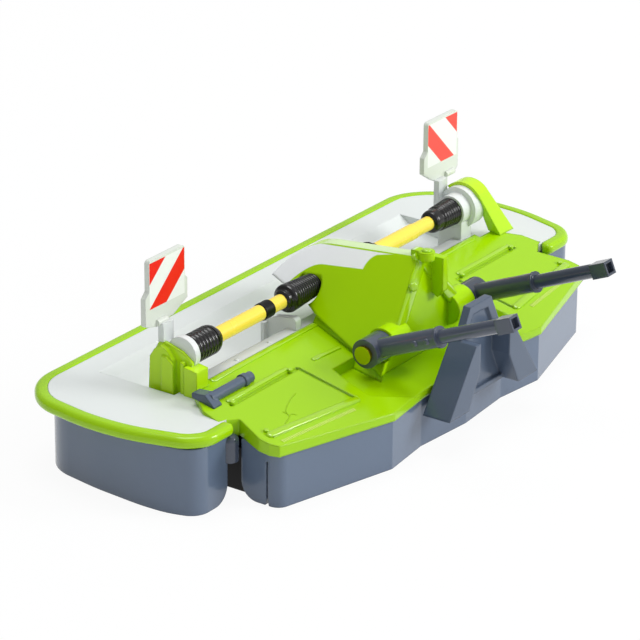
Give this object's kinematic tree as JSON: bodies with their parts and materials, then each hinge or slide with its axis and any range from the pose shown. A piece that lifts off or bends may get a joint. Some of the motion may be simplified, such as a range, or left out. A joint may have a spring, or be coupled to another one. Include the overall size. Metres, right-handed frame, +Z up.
{
  "type": "toy disc mower",
  "caption": "Small model of a front-mounted disc mower with skirts, hood, shafts, tilting struts, boards and turning discs.",
  "frame": {"origin": "middle of the whole toy's footprint, on the floor", "axes": "+X across the machine to its right, +Y forward away from the tractor, +Z up"},
  "size_m": [0.1132, 0.0658, 0.0341],
  "materials": {
    "green_paint": "gloss",
    "slate_plastic": "satin",
    "pale_plastic": "satin",
    "black_plastic": "satin",
    "black_rubber": "matte",
    "yellow_plastic": "gloss",
    "brass_pin": "polished",
    "board_white": "satin"
  },
  "bodies": {
    "frame": {"deck": "green_paint", "bumper_rail": "green_paint", "front_tray": "pale_plastic", "front_skirt": "slate_plastic", "rear_skirt": "slate_plastic", "chassis": "black_plastic", "mower_bar": "black_plastic", "hood": "green_paint", "hitch_frame": "slate_plastic", "lever": "slate_plastic", "end_block_left": "green_paint", "end_block_right": "green_paint", "shaft_thick_left": "yellow_plastic", "shaft_collar": "black_plastic", "shaft_thin_left": "yellow_plastic", "shaft_thick_right": "yellow_plastic", "shaft_thin_right": "yellow_plastic", "guard_ring_left": "pale_plastic", "outer_bellows_left": "black_rubber", "inner_bellows_left": "black_rubber", "board_post_left": "pale_plastic", "warning_board_left": "board_white", "hinge_pin_left": "brass_pin", "guard_ring_right": "pale_plastic", "outer_bellows_right": "black_rubber", "inner_bellows_right": "black_rubber", "board_post_right": "pale_plastic", "warning_board_right": "board_white", "hinge_pin_right": "brass_pin"},
    "strut_left": {"strut_left": "slate_plastic"},
    "strut_right": {"strut_right": "slate_plastic"},
    "disc_1": {"disc_1": "black_plastic"},
    "disc_2": {"disc_2": "black_plastic"},
    "disc_3": {"disc_3": "black_plastic"},
    "disc_4": {"disc_4": "black_plastic"},
    "disc_5": {"disc_5": "black_plastic"},
    "disc_6": {"disc_6": "black_plastic"},
    "disc_7": {"disc_7": "black_plastic"},
    "disc_8": {"disc_8": "black_plastic"}
  },
  "joints": [
    {"name": "strut_tilt_left", "type": "hinge", "parent": "frame", "child": "strut_left", "pos_m": [-0.0137, -0.00636, 0.0154], "axis": [-1, 0, 0], "range_deg": [-40, 60]},
    {"name": "strut_tilt_right", "type": "hinge", "parent": "frame", "child": "strut_right", "pos_m": [0.0137, -0.00636, 0.0154], "axis": [-1, 0, 0], "range_deg": [-40, 60]},
    {"name": "disc_spin_1", "type": "hinge", "parent": "frame", "child": "disc_1", "pos_m": [-0.035, 0.01754, 0.002], "axis": [0, 0, 1], "continuous": true},
    {"name": "disc_spin_2", "type": "hinge", "parent": "frame", "child": "disc_2", "pos_m": [-0.025, 0.01754, 0.002], "axis": [0, 0, 1], "continuous": true},
    {"name": "disc_spin_3", "type": "hinge", "parent": "frame", "child": "disc_3", "pos_m": [-0.015, 0.01754, 0.002], "axis": [0, 0, 1], "continuous": true},
    {"name": "disc_spin_4", "type": "hinge", "parent": "frame", "child": "disc_4", "pos_m": [-0.005, 0.01754, 0.002], "axis": [0, 0, 1], "continuous": true},
    {"name": "disc_spin_5", "type": "hinge", "parent": "frame", "child": "disc_5", "pos_m": [0.005, 0.01754, 0.002], "axis": [0, 0, 1], "continuous": true},
    {"name": "disc_spin_6", "type": "hinge", "parent": "frame", "child": "disc_6", "pos_m": [0.015, 0.01754, 0.002], "axis": [0, 0, 1], "continuous": true},
    {"name": "disc_spin_7", "type": "hinge", "parent": "frame", "child": "disc_7", "pos_m": [0.025, 0.01754, 0.002], "axis": [0, 0, 1], "continuous": true},
    {"name": "disc_spin_8", "type": "hinge", "parent": "frame", "child": "disc_8", "pos_m": [0.035, 0.01754, 0.002], "axis": [0, 0, 1], "continuous": true}
  ]
}
